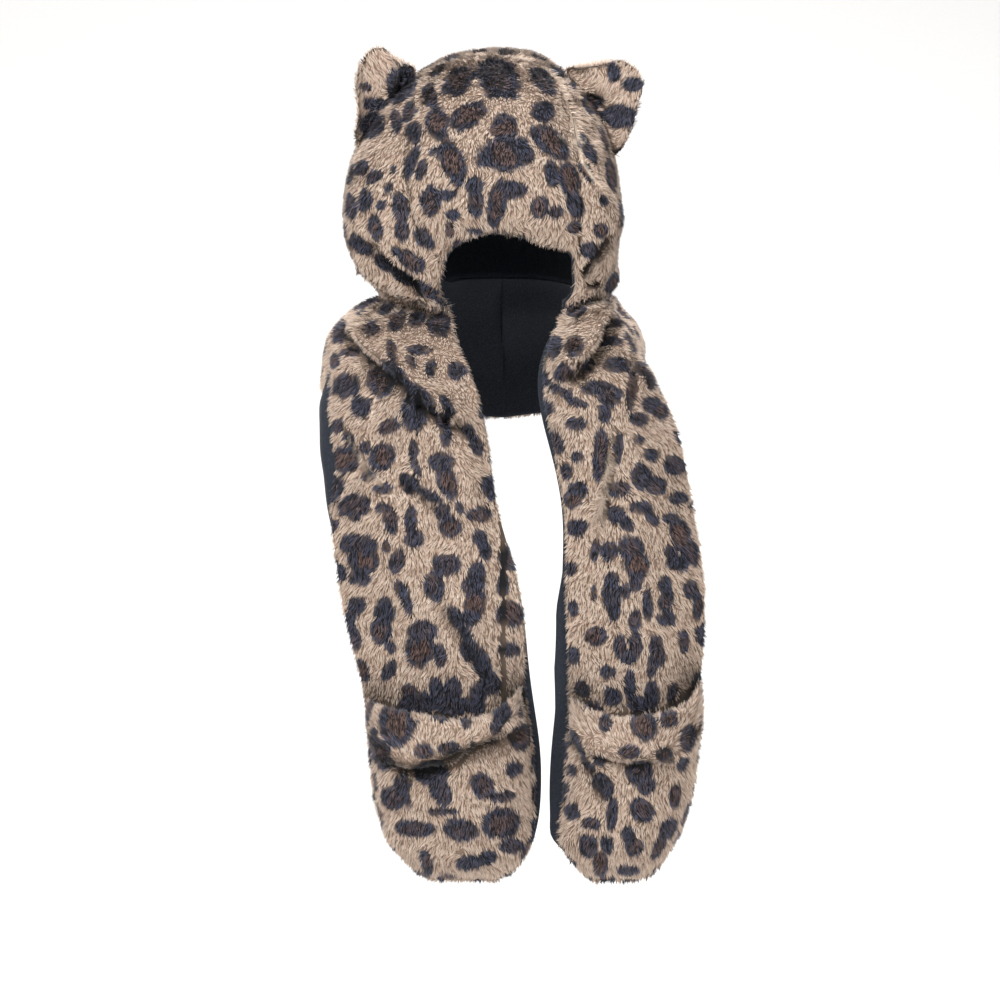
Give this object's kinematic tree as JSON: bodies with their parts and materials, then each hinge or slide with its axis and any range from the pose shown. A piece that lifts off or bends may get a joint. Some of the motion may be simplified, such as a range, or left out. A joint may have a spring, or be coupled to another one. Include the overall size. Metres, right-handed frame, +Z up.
{
  "type": "animal hood scarf",
  "caption": "Plush animal-ear hood joined to a long scarf that hangs down both sides of the chest and ends in hand pockets.",
  "frame": {"origin": "inside top of the hood's lining, where the hood rests on the crown of the head", "axes": "+Z up, -Y the way the wearer looks, +X towards the wearer's left"},
  "size_m": [0.3706, 0.3353, 0.7965],
  "materials": {
    "plush": "tan short-pile plush with a dark leopard print",
    "lining": "smooth black fleece"
  },
  "bodies": {
    "root": {"hood_centre_panel": "plush", "hood_side_right": "plush", "hood_side_left": "plush", "hood_lining": "lining", "ear_right": "plush", "ear_left": "plush", "scarf_right": "plush", "scarf_left": "plush", "scarf_lining_right": "lining", "scarf_lining_left": "lining", "pocket_right": "plush", "pocket_left": "plush"}
  },
  "joints": []
}
